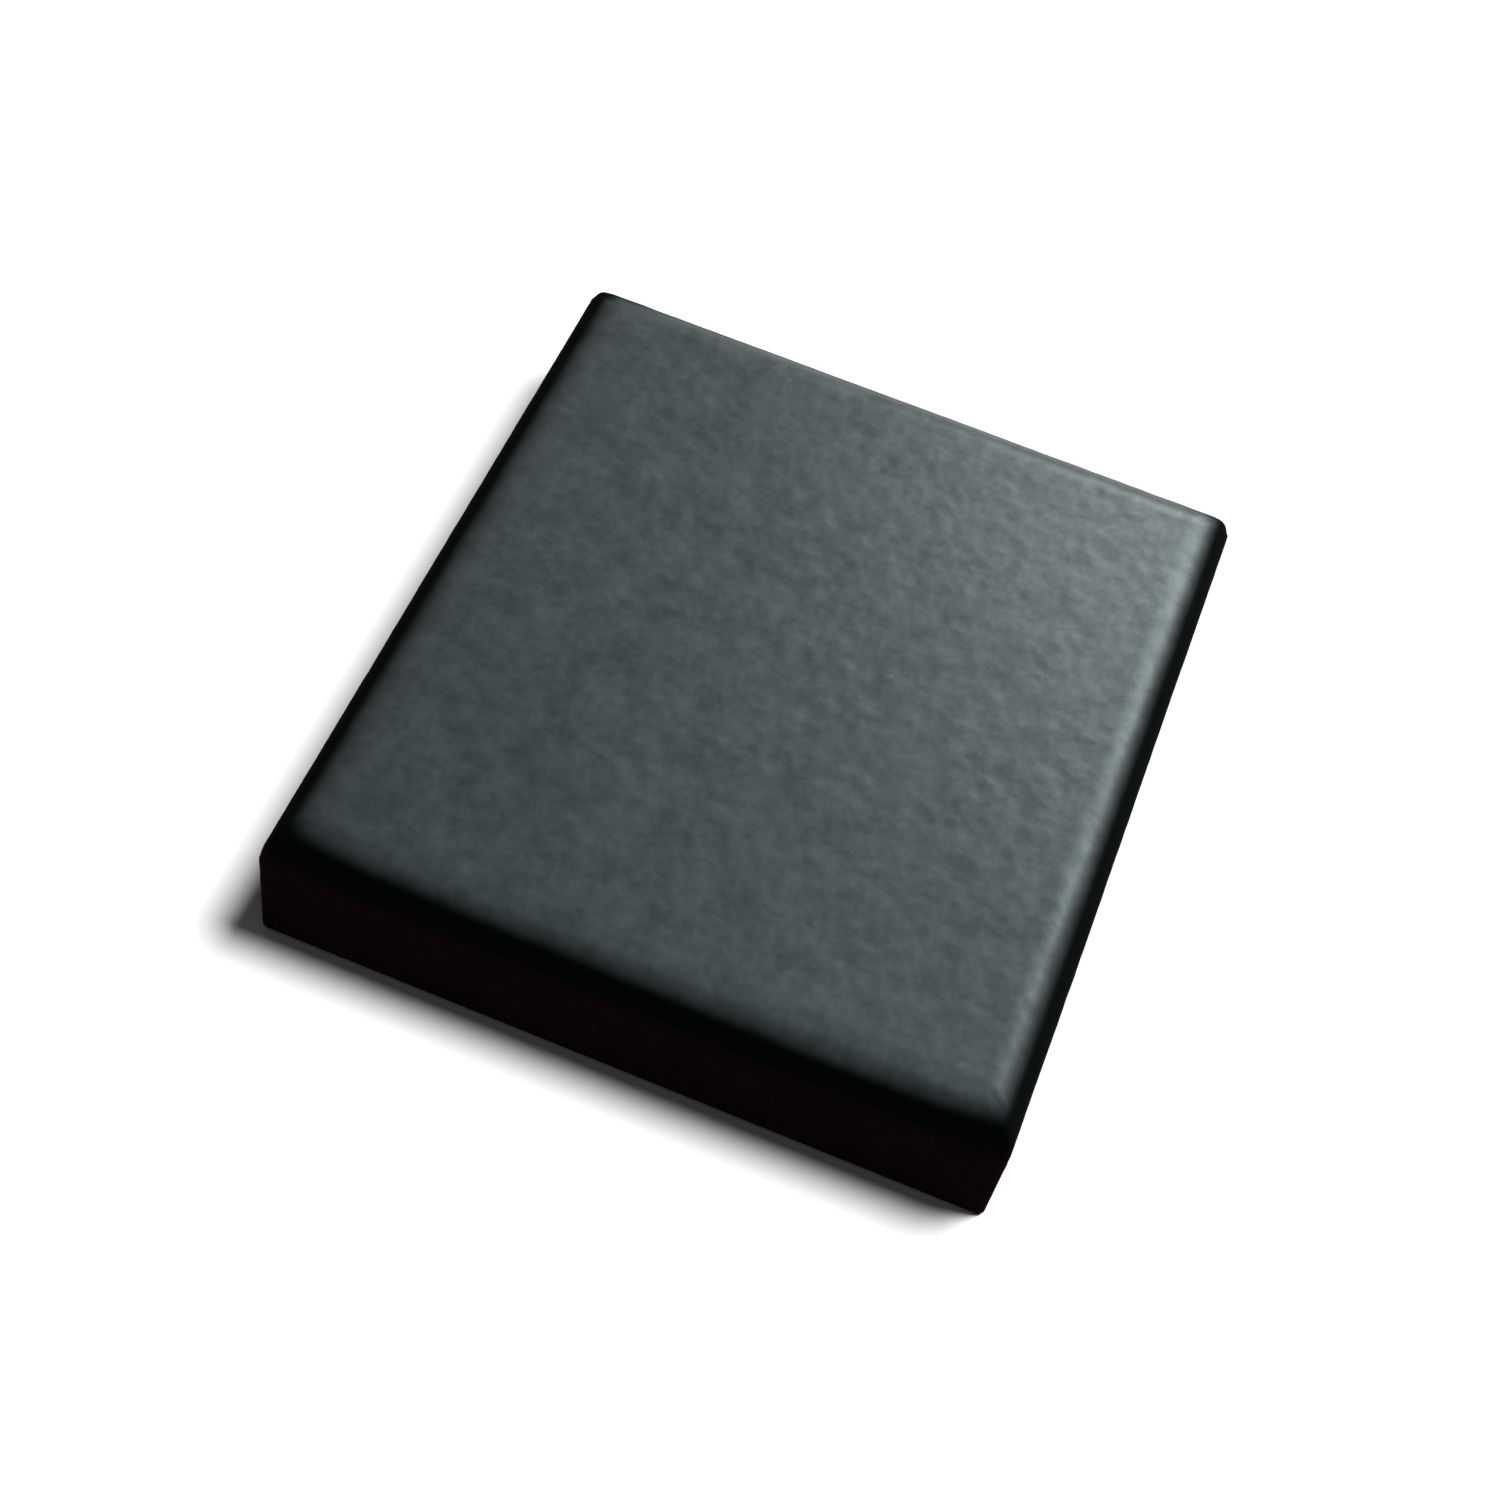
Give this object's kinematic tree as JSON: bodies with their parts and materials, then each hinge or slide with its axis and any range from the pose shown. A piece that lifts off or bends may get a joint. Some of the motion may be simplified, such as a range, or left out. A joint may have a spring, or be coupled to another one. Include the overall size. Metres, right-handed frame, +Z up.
{
  "type": "clinker floor tile",
  "caption": "Thick dark clinker floor tile, nearly square, with broadly rounded top edges, a satin walking face and a keyed underside for mortar.",
  "frame": {"origin": "middle of the underside, in the plane of its rim and ribs", "axes": "+Z up out of the walking face, X along the width, Y along the slightly longer depth, with the pictured front on the -Y side"},
  "size_m": [0.1, 0.109, 0.022],
  "materials": {
    "fired_clinker": "satin"
  },
  "bodies": {
    "root": {"floor_tile": "fired_clinker"}
  },
  "joints": []
}
